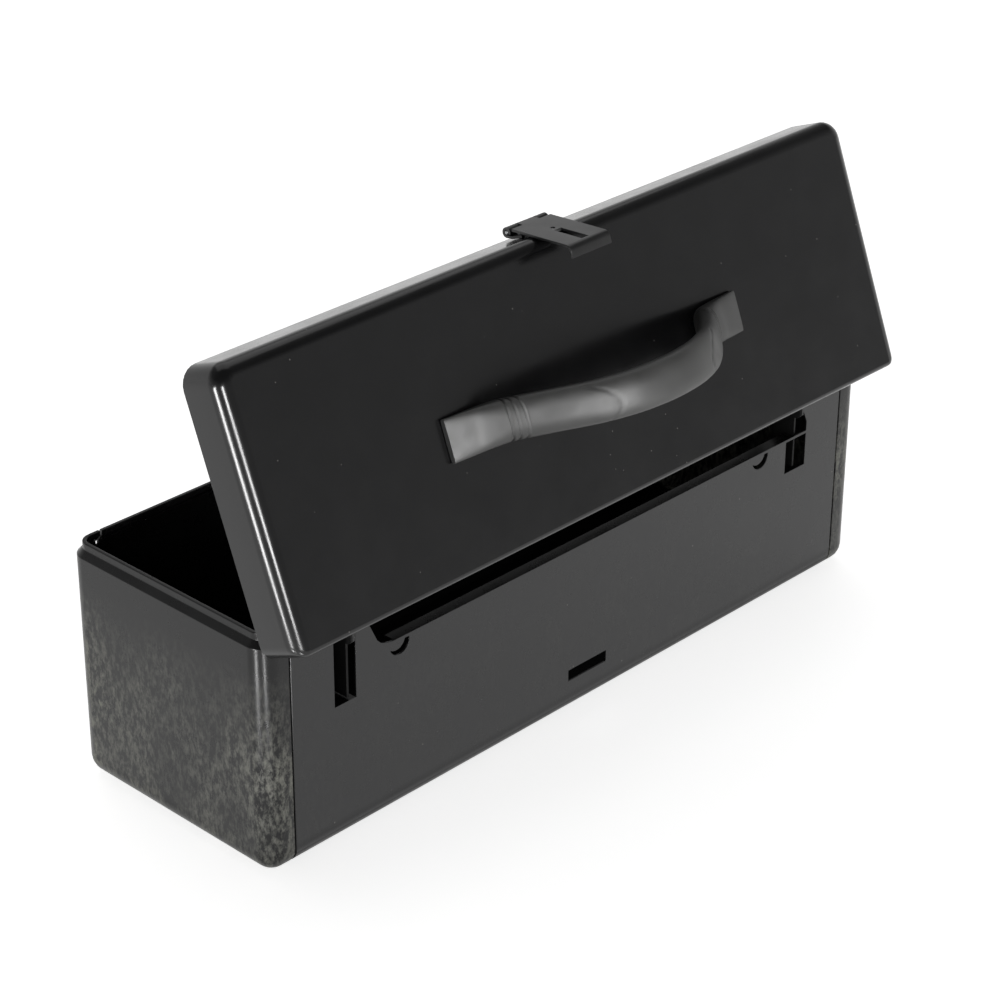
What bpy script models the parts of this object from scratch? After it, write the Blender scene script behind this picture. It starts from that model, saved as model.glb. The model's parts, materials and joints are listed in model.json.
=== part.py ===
"""Steel tool box, 16 inch, with a carry handle and a hasp.

Frame: origin at the middle of the underside, +X along the box, +Y out of the hinge side,
+Z up.  Lengths below are in millimetres; mesh data is written in metres.
Parts of the lid are drawn closed and then turned open about the hinge rod.
"""
import math

import bmesh
import bpy
from mathutils import Matrix, Vector

MM = 0.001

# ---- driving dimensions (mm) ------------------------------------------------
LENGTH = 406.0          # over the end caps
DEPTH = 127.4           # over the long walls
RIM_Z = 120.5           # top of the body's neck
STEP_Z = 114.2          # where the wall starts to step in for the lid
NECK_Z = 117.2          # where the step ends
NECK_IN = 2.75          # how far the neck stands in
SHEET = 1.0             # sheet steel
HEM = 2.1               # folded rim
GAP = 0.3               # clearance between touching pieces
FOLD_R = 10.0           # long bottom folds
CORNER_R = 9.5          # upright corners
CAP_FLANGE_X = 188.0    # free edge of the end caps' flanges
LAP_IN = SHEET + GAP    # trough ends step in under the flanges
LAP_END_X = 193.2
LAP_TOP_Z = 113.0

LID_LOW_Z = 115.8       # free edge of the closed lid's skirt
LID_TOP_Z = 139.5
LID_R = 6.9             # roof edge along the front and the ends
LID_REAR_R = 2.4        # tighter fold along the hinge side
LID_REAR_LEAN = 1.1     # rear skirt leans in by this much at the roof
LID_REAR_CORNER = 7.0
HINGE_Y = 61.1
HINGE_Z = 111.9
LID_OPEN = 68.5         # degrees, as it stands
ROD_R = 1.3
EAR_X = (152.9, 154.1)  # hinge brackets' upright ears, each side
STRIP_X = (-151.5, 140.5)

HANDLE_W = 20.0
HANDLE_SAG = 5.7        # the soft arch hangs over towards the hinge side
SCREW_X = 79.0          # screws up into the handle's feet
SCREW_Y = 3.8
SCREW_HOLE_R = 2.3
SCREW_HOLE_DEPTH = 6.3

HASP_W = 25.5
HASP_T = 1.2
HASP_LEAN = 18.0        # degrees past upright, resting on the lid's edge
HASP_Y = -(DEPTH / 2 + 3.5)
HASP_SLOT_W = 4.4
HASP_Z = LID_LOW_Z + 3.8
HASP_RIVET_X = 8.6
HASP_RIVET_Z = HASP_Z + 4.4
KNUCKLE_R = 1.9         # to the middle of the rolled sheet
KNUCKLE_SPLIT = 5.6     # half width of the leaf's own knuckle
PIN_R = 1.0
STAPLE_LEGS = ((85.65, 88.85), (95.15, 98.35))

HALF_X = LENGTH / 2
HALF_Y = DEPTH / 2

for old in list(bpy.data.objects):
    bpy.data.objects.remove(old, do_unlink=True)


# ---- materials ----------------------------------------------------------------
def make_material(name, colour, roughness, metallic):
    material = bpy.data.materials.new(name)
    material.use_nodes = True
    shader = material.node_tree.nodes["Principled BSDF"]
    shader.inputs["Base Color"].default_value = (*colour, 1.0)
    shader.inputs["Roughness"].default_value = roughness
    shader.inputs["Metallic"].default_value = metallic
    return material


def part_material(name):
    bare = ("hinge_rod", "hasp_pin", "hasp_rivet", "handle_screw", "handle_washer", "staple_back")
    if name == "handle_grip":
        return make_material(name + "_plastic", (0.030, 0.030, 0.032), 0.50, 0.0)
    if name.startswith(bare):
        return make_material(name + "_zinc", (0.45, 0.45, 0.46), 0.38, 1.0)
    return make_material(name + "_paint", (0.018, 0.018, 0.019), 0.38, 0.0)


# ---- mesh helpers ---------------------------------------------------------------
def finish_object(name, bm, smooth_angle=None, origin=(0.0, 0.0, 0.0), helper=False):
    """Close the mesh into an object whose origin is the given point (mm)."""
    bmesh.ops.remove_doubles(bm, verts=bm.verts, dist=0.0005)
    bmesh.ops.recalc_face_normals(bm, faces=bm.faces)
    bmesh.ops.translate(bm, verts=bm.verts, vec=-Vector(origin))
    bmesh.ops.scale(bm, verts=bm.verts, vec=(MM, MM, MM))
    mesh = bpy.data.meshes.new(name)
    bm.to_mesh(mesh)
    bm.free()
    obj = bpy.data.objects.new(name, mesh)
    obj.location = Vector(origin) * MM
    bpy.context.scene.collection.objects.link(obj)
    if helper:
        obj.hide_render = True
        obj.display_type = "WIRE"
    else:
        mesh.materials.append(part_material(name))
    if smooth_angle is not None:
        mesh.shade_smooth()
        mesh.set_sharp_from_angle(angle=math.radians(smooth_angle))
    return obj


def add_loft(bm, sections, closed_ends=True):
    """Skin a row of equal closed loops; the two ends are filled."""
    rings = [[bm.verts.new(point) for point in section] for section in sections]
    count = len(rings[0])
    for ring, following in zip(rings, rings[1:]):
        for i in range(count):
            j = (i + 1) % count
            bm.faces.new((ring[i], ring[j], following[j], following[i]))
    if closed_ends:
        bm.faces.new(list(reversed(rings[0])))
        bm.faces.new(rings[-1])


def add_prism_x(bm, outline, x0, x1):
    """Extrude a (y, z) outline along X."""
    add_loft(bm, [[(x, y, z) for y, z in outline] for x in (x0, x1)])


def add_prism_y(bm, outline, y0, y1):
    """Extrude an (x, z) outline along Y."""
    add_loft(bm, [[(x, y, z) for x, z in outline] for y in (y0, y1)])


def add_prism_z(bm, outline, z0, z1):
    """Extrude an (x, y) outline along Z."""
    add_loft(bm, [[(x, y, z) for x, y in outline] for z in (z0, z1)])


def add_box(bm, low, high):
    outline = [(low[1], low[2]), (high[1], low[2]), (high[1], high[2]), (low[1], high[2])]
    add_prism_x(bm, outline, low[0], high[0])


def add_turned(bm, centre, axis, profile, segments=20):
    """Turn (distance along axis, radius) steps into a solid round piece."""
    direction = Vector(axis).normalized()
    side = direction.orthogonal().normalized()
    other = direction.cross(side)
    sections = []
    for along, radius in profile:
        ring = []
        for k in range(segments):
            angle = 2 * math.pi * k / segments
            offset = side * math.cos(angle) + other * math.sin(angle)
            ring.append(Vector(centre) + direction * along + offset * radius)
        sections.append(ring)
    add_loft(bm, sections)


def add_shell(bm, outer, inner):
    """Sheet between two equal open grids of points, closed round its four edges."""
    grids = [[[bm.verts.new(p) for p in row] for row in grid] for grid in (outer, inner)]
    rows = len(outer)
    columns = len(outer[0])
    for grid in grids:
        for i in range(rows - 1):
            for j in range(columns - 1):
                bm.faces.new((grid[i][j], grid[i][j + 1], grid[i + 1][j + 1], grid[i + 1][j]))
    a, b = grids
    border = [(0, j) for j in range(columns)]
    border += [(i, columns - 1) for i in range(1, rows)]
    border += [(rows - 1, j) for j in range(columns - 2, -1, -1)]
    border += [(i, 0) for i in range(rows - 2, 0, -1)]
    for (i, j), (k, m) in zip(border, border[1:] + border[:1]):
        bm.faces.new((a[i][j], a[k][m], b[k][m], b[i][j]))


def arc(cy, cz, radius, start, end, steps):
    """Points on an arc, angles in degrees."""
    points = []
    for k in range(steps + 1):
        angle = math.radians(start + (end - start) * k / steps)
        points.append((cy + radius * math.cos(angle), cz + radius * math.sin(angle)))
    return points


def sheet_outline(path, thickness):
    """Outline of a bent sheet whose middle line is the path."""
    left = []
    right = []
    for i, (a, b) in enumerate(path):
        before = path[max(i - 1, 0)]
        after = path[min(i + 1, len(path) - 1)]
        d1 = Vector((a - before[0], b - before[1]))
        d2 = Vector((after[0] - a, after[1] - b))
        d1 = d1.normalized() if d1.length > 1e-6 else d2.normalized()
        d2 = d2.normalized() if d2.length > 1e-6 else d1
        mean = (d1 + d2).normalized()
        normal = Vector((-mean.y, mean.x))
        reach = thickness / 2 / max(mean.dot(d2), 0.5)
        left.append((a + normal.x * reach, b + normal.y * reach))
        right.append((a - normal.x * reach, b - normal.y * reach))
    return left + list(reversed(right))


def boolean(obj, tool, operation):
    modifier = obj.modifiers.new(operation.lower() + "_" + tool.name, "BOOLEAN")
    modifier.operation = operation
    modifier.solver = "EXACT"
    modifier.object = tool


# ---- body trough: floor and both long walls folded from one sheet --------------
def trough_profile(inset):
    """Closed (y, z) loop of the folded sheet; the laps set in at its ends stop below the step."""
    half = HALF_Y - inset
    radius = FOLD_R - inset
    outer = [(half - radius, inset)]
    outer += arc(half - radius, FOLD_R, radius, -90, 0, 7)[1:]
    inner = [(half - radius, inset + SHEET)]
    inner += arc(half - radius, FOLD_R, radius - SHEET, -90, 0, 7)[1:]
    if inset > 0:
        outer += [(half, LAP_TOP_Z - drop) for drop in (3, 2, 1, 0)]
        inner += [(half - SHEET, LAP_TOP_Z - drop) for drop in (3, 2.4, 1.8, 1.2, 0.6, 0)]
    else:
        neck = half - NECK_IN
        outer += [(half, STEP_Z), (neck, NECK_Z), (neck, RIM_Z - 0.4), (neck - 0.35, RIM_Z)]
        inner += [(half - SHEET, STEP_Z - 0.3), (neck - SHEET, NECK_Z - 0.3)]
        inner += [(neck - SHEET, NECK_Z + 0.4), (neck - HEM, NECK_Z + 0.8)]
        inner += [(neck - HEM, RIM_Z - 0.4), (neck - HEM + 0.35, RIM_Z)]
    left_outer = [(-y, z) for y, z in outer]
    left_inner = [(-y, z) for y, z in inner]
    return outer + list(reversed(inner)) + left_inner + list(reversed(left_outer))


def build_trough():
    bm = bmesh.new()
    stations = [(CAP_FLANGE_X - 1.1, 0.0), (CAP_FLANGE_X - 0.8, LAP_IN * 0.4)]
    stations += [(CAP_FLANGE_X - 0.3, LAP_IN), (LAP_END_X, LAP_IN)]
    stations = [(-x, inset) for x, inset in reversed(stations)] + stations
    sections = [[(x, y, z) for y, z in trough_profile(inset)] for x, inset in stations]
    add_loft(bm, sections)
    trough = finish_object("body_trough", bm, 32)

    # hinge window, open to the rim, and the two arm slots beside it
    bm = bmesh.new()
    window = [(-161.2, 89.0), (127.5, 89.0), (131.5, 89.7), (134.6, 91.0), (136.8, 93.2)]
    window += [(142.0, 104.0), (144.0, 122.0), (-153.5, 122.0), (-153.5, 116.8)]
    window += [(-157.0, 116.8), (-157.2, 102.6), (-159.2, 98.5), (-161.2, 94.0)]
    add_prism_y(bm, window, 56.0, 68.0)
    boolean(trough, finish_object("cut_window", bm, helper=True), "DIFFERENCE")
    bm = bmesh.new()
    slot = [(149.8, 70.5), (162.6, 70.5), (162.6, 116.0), (161.6, 117.0)]
    slot += [(150.8, 117.0), (149.8, 116.0)]
    add_prism_y(bm, slot, 56.0, 68.0)
    slot = [(-161.1, 70.2), (-145.3, 70.2), (-145.3, 87.6), (-161.1, 87.6)]
    add_prism_y(bm, slot, 56.0, 68.0)
    boolean(trough, finish_object("cut_slots", bm, helper=True), "DIFFERENCE")

    # sickle-shaped lances near both ends of the window, and the low hanging slot
    bm = bmesh.new()
    for centre_x in (123.5, -125.0):
        sickle = arc(centre_x, 86.6, 6.05, 172, 335, 9)
        sickle += list(reversed(arc(centre_x + 2.1, 89.0, 5.6, 195, 307, 7)))
        add_prism_y(bm, sickle, 60.0, 66.0)
    add_prism_y(bm, [(-13.25, 18.3), (13.25, 18.3), (13.25, 24.3), (-13.25, 24.3)], 60.0, 66.0)
    boolean(trough, finish_object("cut_lances", bm, helper=True), "DIFFERENCE")

    # stiffening lips turned in along the window and at the foot of each slot
    bm = bmesh.new()
    add_box(bm, (-150.5, 57.4, 88.0), (126.5, 63.3, 89.0))
    add_box(bm, (150.2, 49.5, 69.5), (162.2, 63.3, 70.5))
    add_box(bm, (-157.6, 49.5, 69.2), (-145.7, 63.3, 70.2))
    boolean(trough, finish_object("join_lips", bm, helper=True), "UNION")

    # holes for the staple's legs in the front wall
    bm = bmesh.new()
    for low, high in STAPLE_LEGS:
        add_box(bm, (-1.9, -66.0, low), (1.9, -60.0, high))
    boolean(trough, finish_object("cut_staple_holes", bm, helper=True), "DIFFERENCE")
    return trough


# ---- end caps: pressed pans whose flanges lap over the trough -------------------
def cap_row(side, inset, z):
    """One level of the cap: from the hinge side round the end to the front side."""
    half_y = HALF_Y - inset
    half_x = HALF_X - inset
    radius = max(CORNER_R - inset, 0.6)
    rounded = arc(half_x - radius, half_y - radius, radius, 90, 0, 6)
    mirrored = [(x, -y) for x, y in reversed(rounded)]
    points = [(CAP_FLANGE_X, half_y)] + rounded + mirrored + [(CAP_FLANGE_X, -half_y)]
    return [(side * x, y, z) for x, y in points]


def build_cap(name, side):
    outer = [cap_row(side, FOLD_R, 0.0)]
    inner = [cap_row(side, FOLD_R, SHEET)]
    for angle in (20, 38, 55, 72, 90):
        sin_a = math.sin(math.radians(90 - angle))
        cos_a = math.cos(math.radians(90 - angle))
        outer.append(cap_row(side, FOLD_R - FOLD_R * cos_a, FOLD_R - FOLD_R * sin_a))
        small = FOLD_R - SHEET
        inner.append(cap_row(side, FOLD_R - small * cos_a, FOLD_R - small * sin_a))
    levels = [(0.0, STEP_Z, SHEET, STEP_Z - 0.3)]
    levels += [(NECK_IN, NECK_Z, NECK_IN + SHEET, NECK_Z - 0.3)]
    levels += [(NECK_IN, NECK_Z + 0.6, NECK_IN + SHEET, NECK_Z + 0.4)]
    levels += [(NECK_IN, NECK_Z + 1.0, NECK_IN + HEM, NECK_Z + 0.8)]
    levels += [(NECK_IN, RIM_Z - 0.4, NECK_IN + HEM, RIM_Z - 0.4)]
    levels += [(NECK_IN + 0.35, RIM_Z, NECK_IN + HEM - 0.35, RIM_Z)]
    for inset_out, z_out, inset_in, z_in in levels:
        outer.append(cap_row(side, inset_out, z_out))
        inner.append(cap_row(side, inset_in, z_in))
    # floor flange: a first row drawn back onto the flange's free edge
    outer.insert(0, [(side * CAP_FLANGE_X, p[1], p[2]) for p in outer[0]])
    inner.insert(0, [(side * CAP_FLANGE_X, p[1], p[2]) for p in inner[0]])
    bm = bmesh.new()
    add_shell(bm, outer, inner)
    bmesh.ops.remove_doubles(bm, verts=bm.verts, dist=0.0005)
    bmesh.ops.dissolve_degenerate(bm, edges=bm.edges, dist=0.0005)
    return finish_object(name, bm, 32)


# ---- hinge brackets: an ear in each slot, welded to the wall by a hat bend -------
def build_bracket(name, side):
    ear = [(50.0, 71.2), (62.2, 71.2), (62.2, 98.2), (64.0, 98.6), (66.8, 101.2)]
    ear += [(66.8, 107.9), (64.1, 108.3)]
    ear += arc(HINGE_Y, HINGE_Z, 3.2, -12, 140, 8)
    ear += [(55.2, 106.0), (50.0, 99.0)]
    bm = bmesh.new()
    add_prism_x(bm, ear, side * EAR_X[0], side * EAR_X[1])
    bracket = finish_object(name, bm, 32)
    hat = [(153.5, 55.0), (153.5, 48.6), (167.5, 48.6), (167.5, 61.9), (184.0, 61.9)]
    bm = bmesh.new()
    add_prism_z(bm, [(side * x, y) for x, y in sheet_outline(hat, 1.0)], 79.0, 98.0)
    boolean(bracket, finish_object("join_hat_" + name, bm, helper=True), "UNION")
    bm = bmesh.new()
    centre = (side * 150.0, HINGE_Y, HINGE_Z)
    add_turned(bm, centre, (side, 0, 0), [(0.0, ROD_R + GAP), (8.0, ROD_R + GAP)], 24)
    boolean(bracket, finish_object("cut_eye_" + name, bm, helper=True), "DIFFERENCE")
    return bracket


def build_rod():
    bm = bmesh.new()
    steps = [(-156.0, 1.6), (-155.6, 2.1), (-154.4, 2.1), (-154.4, ROD_R), (154.4, ROD_R)]
    steps += [(154.4, 2.1), (155.6, 2.1), (156.0, 1.6)]
    add_turned(bm, (0, HINGE_Y, HINGE_Z), (1, 0, 0), steps, 20)
    return finish_object("hinge_rod", bm, 32, (0, HINGE_Y, HINGE_Z))


def build_staple():
    """Padlock loop of flat bar; its legs pass the front wall and are headed inside."""
    front = -HALF_Y
    loop = [(3.55, 86.0), (3.55, 85.0), (2.35, 85.0), (2.35, 86.0), (-6.0, 86.0)]
    loop += [(-7.9, 86.7), (-9.0, 88.4), (-9.0, 95.6), (-7.9, 97.3), (-6.0, 98.0)]
    loop += [(2.35, 98.0), (2.35, 99.0), (3.55, 99.0), (3.55, 94.6), (2.35, 94.6)]
    loop += [(2.35, 95.5), (-5.4, 95.5), (-6.5, 94.4), (-6.5, 89.6), (-5.4, 88.5)]
    loop += [(2.35, 88.5), (2.35, 89.4), (3.55, 89.4)]
    loop = [(front + SHEET + n, z) for n, z in loop]
    bm = bmesh.new()
    add_prism_x(bm, loop, -1.5, 1.5)
    staple = finish_object("staple_loop", bm, 32)
    bm = bmesh.new()
    back = front + SHEET + GAP
    add_box(bm, (-9.0, back, 80.0), (9.0, back + 1.5, 104.0))
    plate = finish_object("staple_backplate", bm, 32)
    bm = bmesh.new()
    for low, high in STAPLE_LEGS:
        add_box(bm, (-1.9, back - 1.0, low), (1.9, back + 3.0, high))
    boolean(plate, finish_object("cut_backplate", bm, helper=True), "DIFFERENCE")
    return staple, plate


# ---- lid -------------------------------------------------------------------------
def rear_skirt_y(z):
    """Outer face of the lid's rear skirt, which leans in towards the roof."""
    return HALF_Y - LID_REAR_LEAN * (z - LID_LOW_Z) / (LID_TOP_Z - LID_LOW_Z)


def rear_inset(z, sheet):
    """How far the lid's rear outline stands in at this height, inside the given thickness."""
    radius = LID_REAR_R - sheet
    over = z - (LID_TOP_Z - LID_REAR_R)
    lean = HALF_Y - rear_skirt_y(z)
    if over <= 0:
        return lean + sheet
    return lean + LID_REAR_R - math.sqrt(max(radius * radius - over * over, 0.0))


def lid_ring(inset, z, sheet):
    """One level of the lid; the rear side follows its own tighter fold."""
    rear = rear_inset(z, sheet)
    front_r = max(CORNER_R - inset, 0.8)
    rear_r = max(LID_REAR_CORNER - inset, 0.6)
    half_x = HALF_X - inset
    corners = ((1, HALF_Y - rear - rear_r, rear_r, 0), (-1, HALF_Y - rear - rear_r, rear_r, 90))
    corners += ((-1, inset + front_r - HALF_Y, front_r, 180),)
    corners += ((1, inset + front_r - HALF_Y, front_r, 270),)
    ring = []
    for sx, cy, radius, start in corners:
        cx = sx * (half_x - radius)
        ring += [(x, y, z) for x, y in arc(cx, cy, radius, start, start + 90, 6)]
    return ring


def build_lid():
    outer = [lid_ring(0.0, LID_LOW_Z, 0.0)]
    inner = [lid_ring(SHEET, LID_LOW_Z, SHEET)]
    for angle in (0, 15, 30, 45, 60, 75, 90):
        sin_a = math.sin(math.radians(angle))
        cos_a = math.cos(math.radians(angle))
        outer.append(lid_ring(LID_R * (1 - cos_a), LID_TOP_Z - LID_R * (1 - sin_a), 0.0))
        small = LID_R - SHEET
        level = LID_TOP_Z - LID_R + small * sin_a
        inner.append(lid_ring(LID_R - small * cos_a, level, SHEET))
    bm = bmesh.new()
    add_loft(bm, list(reversed(inner)) + outer)
    lid = finish_object("lid_shell", bm, 32)

    bm = bmesh.new()
    for side in (-1, 1):
        steps = [(-2.0, 2.4), (2.0, 2.4)]
        add_turned(bm, (side * SCREW_X, SCREW_Y, LID_TOP_Z - 0.5), (0, 0, 1), steps, 20)
        steps = [(-3.0, 1.5), (3.0, 1.5)]
        add_turned(bm, (side * HASP_RIVET_X, -HALF_Y, HASP_RIVET_Z), (0, 1, 0), steps, 16)
    boolean(lid, finish_object("cut_lid_holes", bm, helper=True), "DIFFERENCE")
    return lid


def build_hinge_strip():
    """Strip inside the lid's rear skirt, rolled round the rod."""
    behind = SHEET + GAP + SHEET / 2
    path = [(rear_skirt_y(z) - behind, z) for z in (131.0, 120.5)] + [(HINGE_Y - 2.2, 116.0)]
    path += arc(HINGE_Y, HINGE_Z, 2.2, 180, 470, 16)
    bm = bmesh.new()
    add_prism_x(bm, sheet_outline(path, SHEET), *STRIP_X)
    return finish_object("hinge_strip", bm, 32)


def build_hinge_tongue():
    """Flap fixed to the strip; it closes the window when the lid is shut."""
    behind = 2 * (SHEET + GAP) + SHEET / 2
    path = [(rear_skirt_y(z) - behind, z) for z in (130.0, 121.0)]
    path += [(57.3, 116.5), (57.3, 109.2)]
    path += [(62.6, 105.1), (63.2, 103.6), (63.2, 90.5)]
    bm = bmesh.new()
    add_prism_x(bm, sheet_outline(path, SHEET), STRIP_X[0], STRIP_X[1] - 1.0)
    tongue = finish_object("hinge_tongue", bm, 32)
    bm = bmesh.new()
    corner = [(124.5, 88.0), (126.0, 90.2), (131.5, 91.4), (134.0, 93.6), (140.5, 106.0)]
    corner += [(146.0, 106.0), (146.0, 88.0)]
    add_prism_y(bm, corner, 61.6, 66.0)
    boolean(tongue, finish_object("cut_tongue", bm, helper=True), "DIFFERENCE")
    return tongue


# ---- handle ------------------------------------------------------------------------
HANDLE_TOP = [(96.8, 2.8), (90.0, 4.4), (82.0, 6.6), (76.0, 9.6), (71.5, 12.6), (69.6, 14.1)]
HANDLE_TOP += [(66.0, 17.2), (60.0, 22.5), (52.0, 29.5), (45.0, 34.8), (35.0, 40.5)]
HANDLE_TOP += [(22.0, 45.0), (10.0, 47.0), (0.0, 47.5)]
HANDLE_UNDER = [(96.8, 0.0), (90.0, 0.0), (80.5, 0.0), (72.5, 0.0), (67.0, 0.0), (65.4, 2.6)]
HANDLE_UNDER += [(61.2, 8.2), (54.3, 15.2), (46.5, 22.3), (40.5, 27.0), (31.5, 31.8)]
HANDLE_UNDER += [(20.3, 35.6), (9.5, 37.2), (0.0, 37.7)]
HANDLE_GROOVES = ((4.80, 0.17), (5.67, 0.095), (6.28, 0.056))     # place, half width


def handle_section(position, side):
    """Rounded section at a position counted along the point pairs above."""
    index = min(int(position), len(HANDLE_TOP) - 2)
    part = position - index
    top = Vector(HANDLE_TOP[index]).lerp(Vector(HANDLE_TOP[index + 1]), part)
    under = Vector(HANDLE_UNDER[index]).lerp(Vector(HANDLE_UNDER[index + 1]), part)
    width = HANDLE_W - 1.0 * min(position / 8.0, 1.0)
    depth = 0.0
    for groove, half in HANDLE_GROOVES:
        if abs(position - groove) < half / 2:
            depth = 0.6
    top = top.lerp(under, depth / (top - under).length)
    shape = [(0.0, 0.0), (0.80, 0.0), (0.94, 0.07), (1.0, 0.22), (1.0, 0.52), (0.96, 0.70)]
    shape += [(0.86, 0.85), (0.68, 0.94), (0.40, 0.985), (0.0, 1.0)]
    shape += [(-u, v) for u, v in reversed(shape[1:-1])]
    ring = []
    for u, v in shape:
        point = under.lerp(top, v)
        half = width / 2 - depth
        middle = SCREW_Y + HANDLE_SAG * (point.y / HANDLE_TOP[-1][1]) ** 2
        ring.append((side * point.x, middle + half * u, LID_TOP_Z + GAP + point.y))
    return ring


def build_handle():
    last = len(HANDLE_TOP) - 1
    positions = [float(k) for k in range(last + 1)]
    for groove, half in HANDLE_GROOVES:
        positions += [groove - half, groove, groove + half]
    positions = sorted(positions)
    left = [handle_section(p, 1) for p in positions]
    right = [handle_section(p, -1) for p in reversed(positions[:-1])]
    bm = bmesh.new()
    add_loft(bm, left + right)
    grip = finish_object("handle_grip", bm, 38)
    bm = bmesh.new()
    for side in (-1, 1):
        steps = [(-1.0, SCREW_HOLE_R), (SCREW_HOLE_DEPTH, SCREW_HOLE_R)]
        add_turned(bm, (side * SCREW_X, SCREW_Y, LID_TOP_Z), (0, 0, 1), steps, 20)
    boolean(grip, finish_object("cut_screw_holes", bm, helper=True), "DIFFERENCE")
    return grip


def build_handle_fixing(end_name, side):
    """Pan-head screw and flat washer under the lid, at one foot of the handle."""
    under = LID_TOP_Z - SHEET - GAP
    outline = [(-1.2, 2.4), (-1.2, 6.0), (0.0, 6.0), (0.0, 2.4)]
    steps_round = 24
    sections = []
    for k in range(steps_round + 1):
        angle = 2 * math.pi * (k % steps_round) / steps_round
        section = []
        for height, radius in outline:
            x = side * SCREW_X + radius * math.cos(angle)
            section.append((x, SCREW_Y + radius * math.sin(angle), under + height))
        sections.append(section)
    bm = bmesh.new()
    add_loft(bm, sections, closed_ends=False)
    washer = finish_object("handle_washer_" + end_name, bm, 32)
    bm = bmesh.new()
    start = (side * SCREW_X, SCREW_Y, under - 1.2 - GAP)
    steps = [(-2.4, 2.2), (-1.9, 3.4), (-1.0, 4.0), (0.0, 4.0), (0.0, 2.0), (8.0, 2.0)]
    steps += [(8.7, 1.2)]
    add_turned(bm, start, (0, 0, 1), steps, 20)
    screw = finish_object("handle_screw_" + end_name, bm, 32)
    return [washer, screw]


# ---- hasp ------------------------------------------------------------------------------
def build_hasp_base():
    """Fixed leaf on the lid's front skirt with two knuckles."""
    inner_y = -HALF_Y - GAP - HASP_T / 2
    roll = [(inner_y, HASP_Z + 9.0), (inner_y, HASP_Z + 2.8)]
    roll += arc(HASP_Y, HASP_Z, KNUCKLE_R, 0, -300, 14)
    plate = [(inner_y, HASP_Z + 9.0), (inner_y, HASP_Z + 3.0)]
    bm = bmesh.new()
    add_prism_x(bm, sheet_outline(roll, HASP_T), KNUCKLE_SPLIT + GAP, HASP_W / 2)
    base = finish_object("hasp_base", bm, 32)
    bm = bmesh.new()
    add_prism_x(bm, sheet_outline(roll, HASP_T), -HASP_W / 2, -KNUCKLE_SPLIT - GAP)
    boolean(base, finish_object("join_knuckle", bm, helper=True), "UNION")
    bm = bmesh.new()
    add_prism_x(bm, sheet_outline(plate, HASP_T), -7.0, 7.0)
    boolean(base, finish_object("join_plate", bm, helper=True), "UNION")
    bm = bmesh.new()
    for side in (-1, 1):
        centre = (side * HASP_RIVET_X, inner_y, HASP_RIVET_Z)
        add_turned(bm, centre, (0, 1, 0), [(-3.0, 1.5), (3.0, 1.5)], 16)
    boolean(base, finish_object("cut_rivet_holes", bm, helper=True), "DIFFERENCE")
    return base


def build_hasp_rivet(end_name, side):
    """Flat-headed rivet through the base leaf and the lid's skirt."""
    start = (side * HASP_RIVET_X, -HALF_Y, HASP_RIVET_Z)
    steps = [(-2.25, 1.6), (-1.8, 1.9), (-1.8, 1.2), (SHEET + GAP, 1.2)]
    steps += [(SHEET + GAP, 2.4), (SHEET + GAP + 0.9, 1.9)]
    bm = bmesh.new()
    add_turned(bm, start, (0, 1, 0), steps, 16)
    return finish_object("hasp_rivet_" + end_name, bm, 32)


def hasp_point(along, out):
    """Leaf coordinates (from the pin, along and out of the leaf) to the closed lid's (y, z)."""
    lean = math.radians(HASP_LEAN)
    y = HASP_Y + along * math.sin(lean) - out * math.cos(lean)
    z = HASP_Z + along * math.cos(lean) + out * math.sin(lean)
    return y, z


def build_hasp_leaf():
    plate = [(3.3, KNUCKLE_R), (36.5, KNUCKLE_R), (37.6, 1.65), (38.4, 1.0), (38.8, 0.0)]
    plate.append((39.6, -3.2))
    roll = [(6.0, KNUCKLE_R)] + arc(0.0, 0.0, KNUCKLE_R, 90, 380, 14)
    origin = (0.0, HASP_Y, HASP_Z)
    bm = bmesh.new()
    outline = [hasp_point(a, b) for a, b in sheet_outline(plate, HASP_T)]
    add_prism_x(bm, outline, -HASP_W / 2, HASP_W / 2)
    leaf = finish_object("hasp_leaf", bm, 32, origin)
    bm = bmesh.new()
    outline = [hasp_point(a, b) for a, b in sheet_outline(roll, HASP_T)]
    add_prism_x(bm, outline, -KNUCKLE_SPLIT, KNUCKLE_SPLIT)
    tools = [(finish_object("join_leaf_knuckle", bm, None, origin, True), "UNION")]
    bm = bmesh.new()
    low = [hasp_point(a, b) for a, b in ((19.5, -1.0), (36.0, -1.0), (36.0, 4.0), (19.5, 4.0))]
    add_prism_x(bm, low, -HASP_SLOT_W / 2, HASP_SLOT_W / 2)
    y, z = hasp_point(16.6, -1.0)
    y2, z2 = hasp_point(16.6, 4.0)
    add_turned(bm, (0, y, z), (0, y2 - y, z2 - z), [(0.0, 1.1), (5.0, 1.1)], 16)
    tools.append((finish_object("cut_leaf_slot", bm, None, origin, True), "DIFFERENCE"))
    for tool, operation in tools:
        boolean(leaf, tool, operation)
    return leaf, [tool for tool, operation in tools]


def build_hasp_pin():
    bm = bmesh.new()
    reach = HASP_W / 2 + 0.2
    steps = [(-reach, 0.7), (-reach + 0.4, PIN_R), (reach - 0.4, PIN_R), (reach, 0.7)]
    add_turned(bm, (0, HASP_Y, HASP_Z), (1, 0, 0), steps, 16)
    return finish_object("hasp_pin", bm, 32, (0, HASP_Y, HASP_Z))


# ---- turn the lid and all it carries open about the rod ---------------------------------
def swing_open(objects):
    pivot = Vector((0, HINGE_Y, HINGE_Z)) * MM
    turn = Matrix.Rotation(math.radians(-LID_OPEN), 4, "X")
    move = Matrix.Translation(pivot) @ turn @ Matrix.Translation(-pivot)
    for obj in objects:
        obj.matrix_world = move @ Matrix.Translation(obj.location)


def with_tools(obj):
    return [obj] + [m.object for m in obj.modifiers if m.type == "BOOLEAN"]


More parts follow.
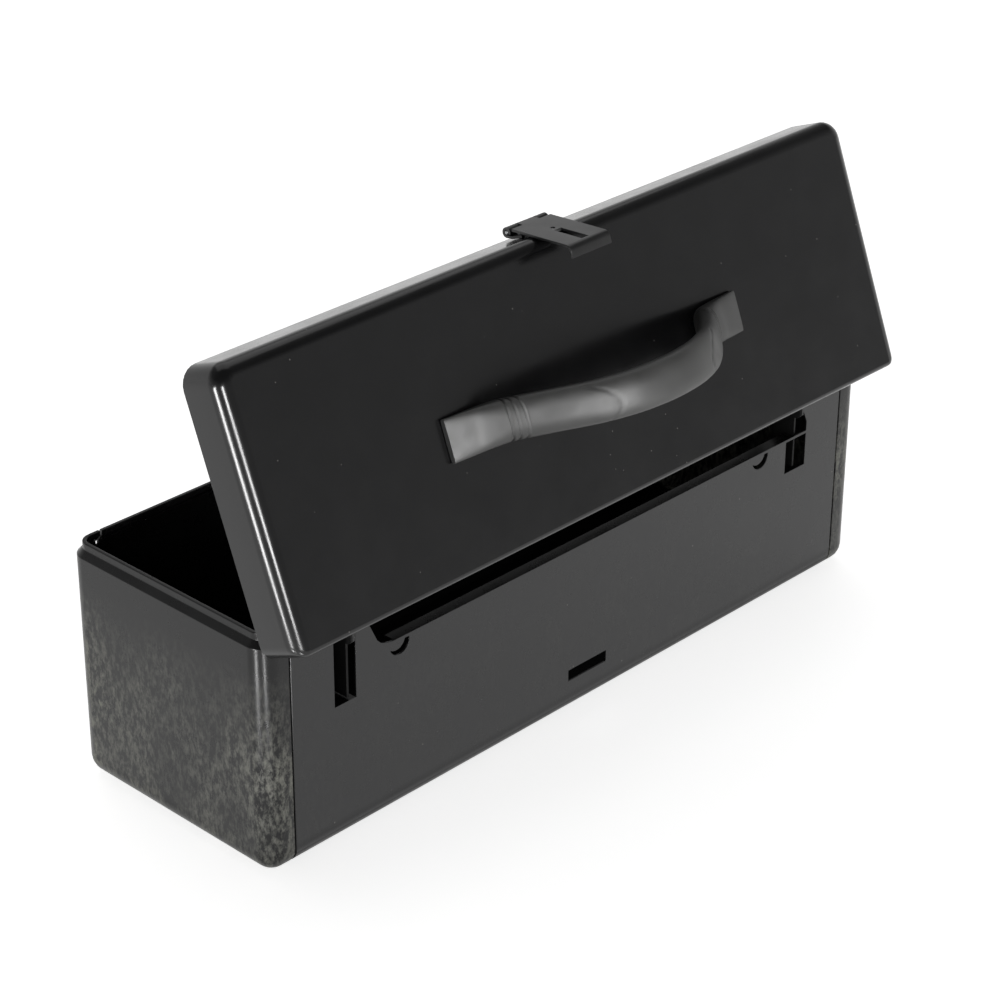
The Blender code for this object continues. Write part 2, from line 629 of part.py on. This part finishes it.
build_trough()
build_cap("end_cap_left", 1)
build_cap("end_cap_right", -1)
build_bracket("hinge_bracket_left", 1)
build_bracket("hinge_bracket_right", -1)
build_rod()
build_staple()

carried = with_tools(build_lid())
carried += with_tools(build_hinge_strip())
carried += with_tools(build_hinge_tongue())
carried += with_tools(build_handle())
carried += with_tools(build_hasp_base())
for end_name, side in (("left", 1), ("right", -1)):
    carried += build_handle_fixing(end_name, side)
    carried.append(build_hasp_rivet(end_name, side))
leaf_part, leaf_tools = build_hasp_leaf()
carried += [leaf_part] + leaf_tools
carried.append(build_hasp_pin())
swing_open(carried)
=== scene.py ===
# %% [markdown]
# A pressed steel tool box, shown with its lid standing open.
# The solid model gives every piece its place.  This lesson adds light, finishes, a moulded
# handle and the small marks that pressing and use leave.

# %% Load the solid model and keep its box
import json
import math

import bmesh
import bpy
from mathutils import Matrix, Vector


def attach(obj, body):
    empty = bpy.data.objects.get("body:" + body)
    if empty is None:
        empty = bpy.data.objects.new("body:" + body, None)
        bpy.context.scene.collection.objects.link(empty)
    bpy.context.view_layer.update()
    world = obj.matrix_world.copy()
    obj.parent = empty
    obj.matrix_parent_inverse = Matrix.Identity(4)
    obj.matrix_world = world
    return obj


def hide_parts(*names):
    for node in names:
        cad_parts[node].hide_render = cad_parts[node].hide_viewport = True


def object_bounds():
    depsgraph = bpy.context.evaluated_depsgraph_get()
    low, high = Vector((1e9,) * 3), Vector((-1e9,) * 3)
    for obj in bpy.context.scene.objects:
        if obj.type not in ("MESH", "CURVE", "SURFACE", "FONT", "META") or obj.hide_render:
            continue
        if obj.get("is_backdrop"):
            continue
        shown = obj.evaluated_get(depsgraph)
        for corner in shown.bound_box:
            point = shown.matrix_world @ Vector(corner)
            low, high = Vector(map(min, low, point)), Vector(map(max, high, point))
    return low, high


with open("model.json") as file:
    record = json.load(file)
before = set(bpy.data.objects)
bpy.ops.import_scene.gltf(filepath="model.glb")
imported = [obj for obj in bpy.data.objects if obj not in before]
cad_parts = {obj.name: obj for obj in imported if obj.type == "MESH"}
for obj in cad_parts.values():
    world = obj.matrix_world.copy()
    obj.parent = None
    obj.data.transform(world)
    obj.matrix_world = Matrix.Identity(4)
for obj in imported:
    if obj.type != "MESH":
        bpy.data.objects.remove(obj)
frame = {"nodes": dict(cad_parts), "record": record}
cad_low, cad_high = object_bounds()
MM = 0.001
print("case, lid and hasp measure", [round(v / MM, 1) for v in cad_high - cad_low], "mm")

# %% [markdown]
# The camera stands to the left behind the box and looks down on the hinge side, through a
# long lens, so that the long edges stay nearly parallel.  It could be aimed with a constraint,
# but a position, a target and a small roll are easier to read and always give the same view.

# %% Camera
camera_data = bpy.data.cameras.new("long_lens")
camera_data.lens = 101.0
camera_data.sensor_width = 36.0
camera_data.clip_end = 60.0
camera = bpy.data.objects.new("camera", camera_data)
bpy.context.scene.collection.objects.link(camera)
camera_place = Vector((0.85575, 0.82280, 0.71075))
camera_target = Vector((-0.00623, 0.0, 0.08453))
aim = (camera_target - camera_place).to_track_quat("-Z", "Y")
camera.matrix_world = (
    Matrix.Translation(camera_place)
    @ aim.to_matrix().to_4x4()
    @ Matrix.Rotation(math.radians(0.28), 4, "Z")
)
bpy.context.scene.camera = camera
bpy.context.scene.view_settings.view_transform = "Standard"
print("camera is", round((camera_place - camera_target).length, 3), "m from the box")


# %% [markdown]
# Colours are given the way a paint chart or a web page gives them, as sRGB hex.  Shaders work
# in linear light, so one function converts them.  A second function adds a shader node with
# its settings and links, which keeps each recipe down to one line for each node.

# %% Colour and node helpers
def linear(hex_colour):
    """sRGB hex such as '#1a1a1b' to linear RGBA."""
    values = []
    for k in (1, 3, 5):
        part = int(hex_colour[k:k + 2], 16) / 255.0
        values.append(part / 12.92 if part <= 0.04045 else ((part + 0.055) / 1.055) ** 2.4)
    return (*values, 1.0)


def add(tree, kind, settings=None, links=None):
    """Add one node; settings are inputs or properties, links go from sockets into inputs."""
    node = tree.nodes.new(kind)
    for name, value in (settings or {}).items():
        if isinstance(name, int) or name in node.inputs:
            node.inputs[name].default_value = value
        else:
            setattr(node, name, value)
    for name, socket in (links or {}).items():
        tree.links.new(socket, node.inputs[name])
    return node


def start_material(name, settings):
    """A named material with its Principled shader set up, ready for its pattern nodes."""
    material = bpy.data.materials.new(name)
    material.use_nodes = True
    tree = material.node_tree
    shader = tree.nodes["Principled BSDF"]
    for key, value in settings.items():
        shader.inputs[key].default_value = value
    place = add(tree, "ShaderNodeTexCoord")
    return material, tree, shader, place.outputs["Object"]


print("paint black in linear light:", [round(v, 4) for v in linear("#1a1a1b")[:3]])

# %% [markdown]
# The studio is a sweep of pale card with soft light.  Black gloss paint has hardly any colour
# of its own: what the eye reads is the studio mirrored in it.  So the card has to be bright
# where the walls mirror it, and the room has to be dim where the lid mirrors it.  An image of a
# real studio could do this, but a few lamps and a sky that brightens to one side are enough.
#
# Two kinds of lamp here do what no bare lamp does.  The strips make glints only: they show in
# the rounded edges but light nothing, like thin strips of foil.  The handle's softbox is
# flagged off all but the handle, because satin plastic needs more light than gloss paint does.

# %% Floor, sky and lamps
floor_mesh = bpy.data.meshes.new("sweep_of_card")
floor_bm = bmesh.new()
FLOOR_HALF = 9.0        # metres, far beyond what the lens sees
FLOOR_DROP = 0.4 * MM   # the card lies just under the box, so that no two faces coincide
corners = [floor_bm.verts.new((x, y, -FLOOR_DROP))
           for y in (-FLOOR_HALF, FLOOR_HALF) for x in (-FLOOR_HALF, FLOOR_HALF)]
floor_bm.faces.new((corners[0], corners[1], corners[3], corners[2]))
floor_bm.to_mesh(floor_mesh)
floor_bm.free()
floor = bpy.data.objects.new("sweep_of_card", floor_mesh)
bpy.context.scene.collection.objects.link(floor)
floor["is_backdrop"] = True
card, _, card_shader, _ = start_material(
    "matt_white_card", {"Roughness": 0.9, "Base Color": linear("#f2f2f1"),
                        "Emission Color": (1.0, 1.0, 1.0, 1.0), "Emission Strength": 0.80})
card_shader.inputs["Specular IOR Level"].default_value = 0.1
floor_mesh.materials.append(card)

sky = bpy.data.worlds.new("studio_room")
sky.use_nodes = True
bpy.context.scene.world = sky
sky_tree = sky.node_tree
sky_place = add(sky_tree, "ShaderNodeTexCoord")
BRIGHT_SIDE = (-0.35, -0.94, 0.0)       # the way to the brighter half of the room
toward_card = add(sky_tree, "ShaderNodeVectorMath",
                  {"operation": "DOT_PRODUCT", 1: BRIGHT_SIDE},
                  {0: sky_place.outputs["Generated"]})
sky_ramp = add(sky_tree, "ShaderNodeMapRange",
               {"From Min": -0.3, "From Max": 0.5, "To Min": 0.46, "To Max": 1.0},
               {"Value": toward_card.outputs["Value"]})
toward_roof = add(sky_tree, "ShaderNodeSeparateXYZ", {},
                  {"Vector": sky_place.outputs["Generated"]})
roof_ramp = add(sky_tree, "ShaderNodeMapRange",
                {"From Min": 0.12, "From Max": 0.60, "To Min": 1.0, "To Max": 0.20},
                {"Value": toward_roof.outputs["Z"]})
sky_strength = add(sky_tree, "ShaderNodeMath", {"operation": "MULTIPLY"},
                   {0: sky_ramp.outputs["Result"], 1: roof_ramp.outputs["Result"]})
sky_tree.links.new(sky_strength.outputs["Value"],
                   sky_tree.nodes["Background"].inputs["Strength"])
sky_tree.nodes["Background"].inputs["Color"].default_value = (1.0, 1.0, 1.0, 1.0)


def softbox(name, place, target, width, height, power, glint_only=False):
    """A rectangular lamp facing its target, out of the camera's sight; some make glints only."""
    lamp = bpy.data.lights.new(name, "AREA")
    lamp.shape = "RECTANGLE"
    lamp.size = width
    lamp.size_y = height
    lamp.energy = power
    holder = bpy.data.objects.new(name, lamp)
    holder.location = place
    holder.rotation_euler = (Vector(target) - Vector(place)).to_track_quat("-Z", "Y").to_euler()
    holder.visible_camera = False
    holder.visible_diffuse = not glint_only
    bpy.context.scene.collection.objects.link(holder)
    return holder


softbox("overhead_softbox", (-0.6, -0.9, 2.3), (0, 0, 0), 2.4, 2.4, 14.0)
handle_lamp = softbox("handle_softbox", (0.05, 0.50, 0.25), (0.06, 0.09, 0.19), 0.13, 0.12, 2.1)
softbox("end_strip", (0.80, 0.13, 0.13), (0.20, 0.0, 0.10), 0.15, 0.25, 4.2, True)
softbox("hinge_side_strip", (0.90, 1.32, 0.43), (0.20, 0.0, 0.12), 0.30, 0.32, 12.0, True)
softbox("low_strip_end", (0.333, 0.091, 0.022), (0.20, 0.060, 0.090), 0.018, 0.045, 0.08, True)
softbox("low_strip_side", (0.274, 0.169, 0.022), (0.20, 0.060, 0.090), 0.014, 0.045, 0.06, True)


# %% [markdown]
# Enamel.  The sheets are degreased, sprayed with black stoving enamel and baked.  That leaves
# a hard glossy skin with a faint orange peel, over steel that is never quite flat.  Two bumps
# give this: a broad one for the sheet, with swells of about 60 mm, and a fine one for the
# paint, with grains of about 2 mm.  Dust settles on it as specks, each about half a
# millimetre across.  Scuffs make the skin duller and greyer where the box was rubbed.

# %% Enamel recipe
SHEET_SWELL = 60 * MM   # width of a swell in the pressed sheet
GLOSS_CLOUD = 22 * MM   # width of a patch of more or less gloss
ORANGE_PEEL = 2 * MM    # width of a grain of the paint's orange peel
RUB_PATCH = 30 * MM     # width of a rubbed patch
RUB_FLECK = 2.4 * MM    # width of a fleck in it
DUST_CELL = 5 * MM      # there is room for one speck of dust in each square of this size
NECK_FOOT = 113.5 * MM  # height above which the neck is painted like the outside


def stoved_enamel(name, dark, light, gloss, dull, dust, scuff=0.0, inner_y=-1.0,
                  polish=0.5):
    """Black stoving enamel; dust and scuff say how much of each there is, 0 to 1.

    Inside of inner_y, in metres, the paint is only a mist coat; polish is how mirror-like
    the rest is.
    """
    material, tree, shader, place = start_material(name, {"IOR": 1.5})
    swell = add(tree, "ShaderNodeTexNoise", {"Scale": 1 / SHEET_SWELL, "Detail": 2.0},
                {"Vector": place})
    cloud = add(tree, "ShaderNodeTexNoise",
                {"Scale": 1 / GLOSS_CLOUD, "Detail": 6.0, "Roughness": 0.62},
                {"Vector": place})
    peel = add(tree, "ShaderNodeTexNoise", {"Scale": 1 / ORANGE_PEEL, "Detail": 2.0},
               {"Vector": place})
    tone = add(tree, "ShaderNodeMix", {"data_type": "RGBA", 6: linear(dark), 7: linear(light)},
               {0: cloud.outputs["Fac"]})
    colour = tone.outputs[2]
    haze = add(tree, "ShaderNodeMapRange",
               {"From Min": 0.3, "From Max": 0.75, "To Min": gloss, "To Max": dull},
               {"Value": cloud.outputs["Fac"]})
    rough = haze.outputs["Result"]
    if scuff > 0.0:
        # rubbed skin: fine upright mottling, thicker in patches and towards the foot
        tall = add(tree, "ShaderNodeMapping", {"Scale": (1.0, 1.0, 0.45)}, {"Vector": place})
        patch = add(tree, "ShaderNodeTexNoise",
                    {"Scale": 1 / RUB_PATCH, "Detail": 3.0, "Roughness": 0.55},
                    {"Vector": tall.outputs["Vector"]})
        fine_place = add(tree, "ShaderNodeMapping", {"Scale": (1.0, 1.0, 0.50)},
                         {"Vector": place})
        fine = add(tree, "ShaderNodeTexNoise",
                   {"Scale": 1 / RUB_FLECK, "Detail": 7.0, "Roughness": 0.72},
                   {"Vector": fine_place.outputs["Vector"]})
        height = add(tree, "ShaderNodeSeparateXYZ", {}, {"Vector": place})
        foot = add(tree, "ShaderNodeMapRange",
                   {"From Min": 0.102, "From Max": 0.058, "To Min": 0.0, "To Max": 0.75},
                   {"Value": height.outputs["Z"]})
        off_middle = add(tree, "ShaderNodeMath", {"operation": "ABSOLUTE"},
                         {0: height.outputs["Y"]})
        corner = add(tree, "ShaderNodeMapRange",
                     {"From Min": 0.036, "From Max": 0.052, "To Min": 0.0, "To Max": 0.55},
                     {"Value": off_middle.outputs["Value"]})
        spread = add(tree, "ShaderNodeMath", {"operation": "MULTIPLY_ADD"},
                     {0: foot.outputs["Result"], 1: corner.outputs["Result"],
                      2: foot.outputs["Result"]})
        worn = add(tree, "ShaderNodeMapRange",
                   {"From Min": 0.36, "From Max": 0.62, "To Min": 0.30, "To Max": 1.0},
                   {"Value": patch.outputs["Fac"]})
        spots = add(tree, "ShaderNodeMapRange",
                    {"From Min": 0.44, "From Max": 0.64, "To Min": 0.0, "To Max": scuff},
                    {"Value": fine.outputs["Fac"]})
        where = add(tree, "ShaderNodeMath", {"operation": "MULTIPLY"},
                    {0: worn.outputs["Result"], 1: spread.outputs["Value"]})
        rubbed = add(tree, "ShaderNodeMath", {"operation": "MULTIPLY"},
                     {0: where.outputs["Value"], 1: spots.outputs["Result"]})
        grey = add(tree, "ShaderNodeMix", {"data_type": "RGBA", 7: linear("#84847b")},
                   {0: rubbed.outputs["Value"], 6: colour})
        colour = grey.outputs[2]
        dulled = add(tree, "ShaderNodeMath", {"operation": "MULTIPLY_ADD", 1: 0.40},
                     {0: rubbed.outputs["Value"], 2: rough})
        rough = dulled.outputs["Value"]
    # dust: a speck in a few of the cells
    cells = add(tree, "ShaderNodeTexVoronoi", {"Scale": 1 / DUST_CELL}, {"Vector": place})
    near = add(tree, "ShaderNodeMapRange", {"From Min": 0.075, "From Max": 0.045},
               {"Value": cells.outputs["Distance"]})
    chosen = add(tree, "ShaderNodeSeparateColor", {}, {"Color": cells.outputs["Color"]})
    some = add(tree, "ShaderNodeMapRange",
               {"From Min": 1.0 - 0.35 * dust, "From Max": 1.02 - 0.35 * dust},
               {"Value": chosen.outputs["Red"]})
    speck = add(tree, "ShaderNodeMath", {"operation": "MULTIPLY"},
                {0: near.outputs["Result"], 1: some.outputs["Result"]})
    dusty = add(tree, "ShaderNodeMix", {"data_type": "RGBA", 7: linear("#7d7b77")},
                {0: speck.outputs["Value"], 6: colour})
    rougher = add(tree, "ShaderNodeMath", {"operation": "MULTIPLY_ADD", 1: 0.4},
                  {0: speck.outputs["Value"], 2: rough})
    broad = add(tree, "ShaderNodeBump", {"Strength": 0.35, "Distance": 0.00030},
                {"Height": swell.outputs["Fac"]})
    skin = add(tree, "ShaderNodeBump", {"Strength": 0.12, "Distance": 0.00002},
               {"Height": peel.outputs["Fac"], "Normal": broad.outputs["Normal"]})
    # behind the outer face of the rear wall the paint is a thin dull mist coat; near the floor
    # the gloss fades away, as painted shade in place of the contact shadow under the bottom
    # folds
    where_y = add(tree, "ShaderNodeSeparateXYZ", {}, {"Vector": place})
    behind = add(tree, "ShaderNodeMath", {"operation": "LESS_THAN", 1: inner_y},
                 {0: where_y.outputs["Y"]})
    below = add(tree, "ShaderNodeMath", {"operation": "LESS_THAN", 1: NECK_FOOT},
                {0: where_y.outputs["Z"]})
    misted = add(tree, "ShaderNodeMath", {"operation": "MULTIPLY"},
                 {0: behind.outputs["Value"], 1: below.outputs["Value"]})
    mist = add(tree, "ShaderNodeMix", {"data_type": "RGBA", 7: linear("#0f0f0f")},
               {0: misted.outputs["Value"], 6: dusty.outputs[2]})
    shine = add(tree, "ShaderNodeMapRange", {"To Min": polish, "To Max": 0.16},
                {"Value": misted.outputs["Value"]})
    # painted shade: less gloss within 13 mm of the floor darkens the bottom folds as a contact
    # shadow would
    painted_floor_shade = add(tree, "ShaderNodeMapRange",
                {"From Min": 0.001, "From Max": 0.013, "To Min": 0.10, "To Max": 1.0},
                {"Value": where_y.outputs["Z"]})
    level = add(tree, "ShaderNodeMath", {"operation": "MULTIPLY"},
                {0: shine.outputs["Result"], 1: painted_floor_shade.outputs["Result"]})
    tree.links.new(level.outputs["Value"], shader.inputs["Specular IOR Level"])
    tree.links.new(mist.outputs[2], shader.inputs["Base Color"])
    tree.links.new(rougher.outputs["Value"], shader.inputs["Roughness"])
    tree.links.new(skin.outputs["Normal"], shader.inputs["Normal"])
    return material


lid_enamel = stoved_enamel("black_stoved_enamel_lid", "#131314", "#19191a", 0.16, 0.26, 0.55,
                           polish=0.43)
case_enamel = stoved_enamel("black_stoved_enamel_case", "#111112", "#18181a", 0.22, 0.34, 0.35,
                            scuff=0.03, inner_y=0.0633, polish=0.45)
end_enamel = stoved_enamel("black_stoved_enamel_scuffed_ends", "#121213", "#1a1a1a", 0.24, 0.34,
                           0.30, scuff=0.85, polish=0.30)
hasp_enamel = stoved_enamel("black_enamel_on_thick_strip", "#1c1c1d", "#2b2b2b", 0.26, 0.42, 0.3,
                            scuff=0.25)
bracket_enamel = stoved_enamel("black_mist_coat_on_brackets", "#0c0c0c", "#131313", 0.40, 0.60,
                               0.2, inner_y=0.0655)
print("enamels:", [m.name for m in (lid_enamel, case_enamel, end_enamel, hasp_enamel)])

# %% [markdown]
# Handle plastic.  The grip is an injection moulding in black polypropylene.  The mould is
# spark-eroded to a fine satin grain, so the skin scatters light widely and looks grey where a
# lamp strikes it.  The real grain is about 0.25 mm; it is drawn at 0.45 mm, coarse enough to
# show.  Handling leaves cloudy patches of more and less gloss.

# %% Satin moulded polypropylene
grip_plastic, tree, shader, place = start_material(
    "satin_moulded_polypropylene", {"IOR": 1.49, "Roughness": 0.5})
MOULD_GRAIN = 0.45 * MM
HANDLED_PATCH = 18 * MM
grain = add(tree, "ShaderNodeTexNoise", {"Scale": 1 / MOULD_GRAIN, "Detail": 3.0},
            {"Vector": place})
handled = add(tree, "ShaderNodeTexNoise",
              {"Scale": 1 / HANDLED_PATCH, "Detail": 5.0, "Roughness": 0.6},
              {"Vector": place})
plastic_tone = add(tree, "ShaderNodeMix",
                   {"data_type": "RGBA", 6: linear("#242424"), 7: linear("#363635")},
                   {0: handled.outputs["Fac"]})
satin = add(tree, "ShaderNodeMapRange",
            {"From Min": 0.3, "From Max": 0.7, "To Min": 0.40, "To Max": 0.56},
            {"Value": handled.outputs["Fac"]})
grain_bump = add(tree, "ShaderNodeBump", {"Strength": 0.30, "Distance": 0.00004},
                 {"Height": grain.outputs["Fac"]})
tree.links.new(plastic_tone.outputs[2], shader.inputs["Base Color"])
tree.links.new(satin.outputs["Result"], shader.inputs["Roughness"])
tree.links.new(grain_bump.outputs["Normal"], shader.inputs["Normal"])
print("handle finish:", grip_plastic.name)

# %% [markdown]
# Zinc plate.  The rod, the pin, the rivets and the screws are drawn or headed steel, barrel
# plated with zinc.  The plating is a soft grey metal with a cloudy, slightly uneven gloss.

# %% Barrel-plated zinc
zinc_plate, tree, shader, place = start_material("barrel_plated_zinc", {"Metallic": 1.0})
ZINC_CLOUD = 3.5 * MM
spangle = add(tree, "ShaderNodeTexNoise",
              {"Scale": 1 / ZINC_CLOUD, "Detail": 6.0, "Roughness": 0.65},
              {"Vector": place})
zinc_tone = add(tree, "ShaderNodeMix",
                {"data_type": "RGBA", 6: linear("#7f8184"), 7: linear("#b4b6b7")},
                {0: spangle.outputs["Fac"]})
zinc_gloss = add(tree, "ShaderNodeMapRange",
                 {"From Min": 0.3, "From Max": 0.7, "To Min": 0.28, "To Max": 0.48},
                 {"Value": spangle.outputs["Fac"]})
zinc_bump = add(tree, "ShaderNodeBump", {"Strength": 0.15, "Distance": 0.00003},
                {"Height": spangle.outputs["Fac"]})
tree.links.new(zinc_tone.outputs[2], shader.inputs["Base Color"])
tree.links.new(zinc_gloss.outputs["Result"], shader.inputs["Roughness"])
tree.links.new(zinc_bump.outputs["Normal"], shader.inputs["Normal"])
print("plating:", zinc_plate.name)


# %% [markdown]
# Edges.  No real sheet has a knife edge: shearing, folding and paint all round it off, and
# that thin round is what catches the light.  Modifiers do it without touching the solid: Weld
# joins the facets' corners, Bevel rounds what is sharper than 32 degrees, and Weighted Normal
# keeps the flats looking flat.

# %% Dress the solid model's own pieces
def dress(node_name, material, edge_mm):
    """Give one piece of the solid model its finish and its rounded edges."""
    piece = frame["nodes"][node_name]
    piece.data.materials.clear()
    piece.data.materials.append(material)
    for face in piece.data.polygons:
        face.use_smooth = True
    weld = piece.modifiers.new("join_facets", "WELD")
    weld.merge_threshold = 0.000004
    bevel = piece.modifiers.new("soft_edges", "BEVEL")
    bevel.width = edge_mm * MM
    bevel.segments = 2
    bevel.limit_method = "ANGLE"
    bevel.angle_limit = math.radians(32)
    bevel.harden_normals = False
    shade = piece.modifiers.new("even_shading", "WEIGHTED_NORMAL")
    shade.keep_sharp = False
    shade.weight = 90


finishes = {
    "body_trough": (case_enamel, 0.22), "end_cap_left": (end_enamel, 0.22),
    "end_cap_right": (end_enamel, 0.22), "hinge_bracket_left": (bracket_enamel, 0.2),
    "hinge_bracket_right": (bracket_enamel, 0.2), "hinge_strip": (lid_enamel, 0.2),
    "hinge_tongue": (lid_enamel, 0.2), "hasp_base": (hasp_enamel, 0.22),
    "hasp_leaf": (hasp_enamel, 0.25), "staple_loop": (hasp_enamel, 0.4),
    "staple_backplate": (zinc_plate, 0.2), "hinge_rod": (zinc_plate, 0.1),
    "hasp_pin": (zinc_plate, 0.1), "lid_shell": (lid_enamel, 0.2),
}
for end in ("left", "right"):
    finishes["hasp_rivet_" + end] = (zinc_plate, 0.1)
    finishes["handle_screw_" + end] = (zinc_plate, 0.1)
    finishes["handle_washer_" + end] = (zinc_plate, 0.1)
for node_name, (material, edge_mm) in finishes.items():
    dress(node_name, material, edge_mm)
print("dressed", len(finishes), "pieces")

# %% [markdown]
# The grip.  The real one is a single moulding: two flat feet, a soft arch between them, three
# grooves over each foot and a thin tongue-shaped line on each shoulder.  It is skinned here as
# one row of rounded sections along smooth curves, because a swept tube could not go from a
# boxy foot to an oval arch, and a sculpted block would have uneven grooves.

# %% Curves of the grip
LID_TOP = 139.8 * MM    # underside of the feet on the shut lid
lid_joint = frame["record"]["behaviour"]["joints"][0]
HINGE = Vector(lid_joint["pos_m"])
OPEN = math.radians(-lid_joint["range_deg"][1])

# distance from the middle and height over the lid, in mm, from a foot's tip to the middle
CROWN = [(96.6, 2.6), (90.0, 4.5), (82.0, 6.7), (76.0, 9.7), (69.6, 14.1), (60.0, 22.5),
         (52.0, 29.5), (45.0, 34.8), (35.0, 40.5), (22.0, 45.0), (10.0, 47.0), (0.0, 47.5)]
BELLY = [(96.6, 0.1), (90.0, 0.1), (80.5, 0.1), (72.5, 0.2), (66.2, 1.4), (61.2, 8.2),
         (54.3, 15.2), (46.5, 22.3), (38.0, 28.6), (24.0, 34.6), (11.0, 37.0), (0.0, 37.7)]
CUTS = (69.8, 67.2, 64.4)       # the three grooves, by distance from the middle
CUT_HALF, CUT_DEPTH = 0.75, 0.65
GRIP_WIDTH = 20.0               # across the feet; the arch is 1 mm narrower
GRIP_Y, GRIP_SAG = 3.8, 5.7     # how far the feet, and then the arch, lie to the hinge side
RING_POINTS = 56


def along(points, t):
    """Smooth (Catmull-Rom) curve through the points; t counts points from the foot."""
    k = min(int(t), len(points) - 2)
    u = t - k
    mirrored = points + [(-points[-2][0], points[-2][1])]
    p0, p1, p2 = (Vector(mirrored[max(k + j, 0)]) for j in (-1, 0, 1))
    p3 = Vector(mirrored[k + 2])
    return 0.5 * (2 * p1 + (p2 - p0) * u + (2 * p0 - 5 * p1 + 4 * p2 - p3) * u * u
                  + (3 * p1 - p0 - 3 * p2 + p3) * u ** 3)


def dip(distance, half_width, depth):
    """Round-bottomed groove: how deep it is at this distance from its middle, in mm."""
    share = min(abs(distance) / half_width, 1.0)
    return depth * (1.0 - share * share) ** 2


def shoulder_line(x, across):
    """Depth of the thin tongue-shaped line on the crown, in mm."""
    best = math.inf
    outline = [(42.0, -8.6), (35.5, -5.6), (31.5, -2.0), (30.0, 1.8), (31.4, 5.6), (35.0, 9.0)]
    for a, b in zip(outline, outline[1:]):
        start, step = Vector(a), Vector(b) - Vector(a)
        share = max(0.0, min(1.0, (Vector((x, across)) - start).dot(step) / step.length_squared))
        best = min(best, (start + step * share - Vector((x, across))).length)
    return dip(best, 0.7, 0.5)


def grip_section(t, side):
    """One rounded section, turned with the lid to the angle at which it stands open."""
    top, under = along(CROWN, t), along(BELLY, t)
    middle = under.lerp(top, 0.5)
    half = (GRIP_WIDTH - min(t, 6.0) / 6.0) / 2
    boxy = 2.6 + 2.6 * max(0.0, 1.0 - t / 4.0)
    cut = sum(dip(top.x - place, CUT_HALF, CUT_DEPTH) for place in CUTS)
    ring = []
    for step in range(RING_POINTS):
        turn = 2 * math.pi * step / RING_POINTS
        c, s = math.cos(turn), math.sin(turn)
        u = math.copysign(abs(c) ** (2 / boxy), c)
        v = 0.5 + 0.5 * math.copysign(abs(s) ** (2 / boxy), s)
        point = under.lerp(top, v)
        sink = cut if v > 0.2 else cut * v / 0.2
        if v > 0.6:
            sink += shoulder_line(point.x, half * u)
        inward = Vector((half * u * 0.6, (point - middle).length))
        shrink = 1.0 - sink / max(inward.length, 2.0)
        point = middle + (point - middle) * shrink
        lean = GRIP_SAG * (point.y / CROWN[-1][1]) ** 2
        y = GRIP_Y + lean + half * u * (1.0 - sink / half * abs(u))
        place = Vector((side * point.x * MM, y * MM, LID_TOP + point.y * MM))
        ring.append(HINGE + Matrix.Rotation(OPEN, 3, "X") @ (place - HINGE))
    return ring


# %% Build the grip and put it in place of the plain one
# twelve sections between two points of the curves, and closer ones over the grooves and the
# shoulder's line
stations = [k / 12 for k in range(12 * (len(CROWN) - 1) + 1)]
stations += [3.0 + k / 60 for k in range(1, 160) if k % 5]
stations = sorted(set(stations))
rows = [grip_section(t, 1) for t in stations] + [grip_section(t, -1) for t in stations[-2::-1]]
grip_bm = bmesh.new()
rings = [[grip_bm.verts.new(p) for p in row] for row in rows]
for ring, following in zip(rings, rings[1:]):
    for i in range(len(ring)):
        j = (i + 1) % len(ring)
        grip_bm.faces.new((ring[i], ring[j], following[j], following[i]))
grip_bm.faces.new(rings[0])
grip_bm.faces.new(rings[-1])
bmesh.ops.recalc_face_normals(grip_bm, faces=grip_bm.faces)
grip_mesh = bpy.data.meshes.new("moulded_grip")
grip_bm.to_mesh(grip_mesh)
grip_bm.free()
grip_mesh.shade_smooth()
grip_mesh.set_sharp_from_angle(angle=math.radians(50))
grip_mesh.materials.append(grip_plastic)
grip = bpy.data.objects.new("moulded_grip", grip_mesh)
bpy.context.scene.collection.objects.link(grip)
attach(grip, "lid")
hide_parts("handle_grip")
flagged = bpy.data.collections.new("lit_by_the_handle_softbox")
flagged.objects.link(grip)
handle_lamp.light_linking.receiver_collection = flagged

# %% Sizes of the visual box
new_low, new_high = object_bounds()
growth = (new_high - new_low) - (cad_high - cad_low)
print("visual box grows by", [round(v / MM, 2) for v in growth])
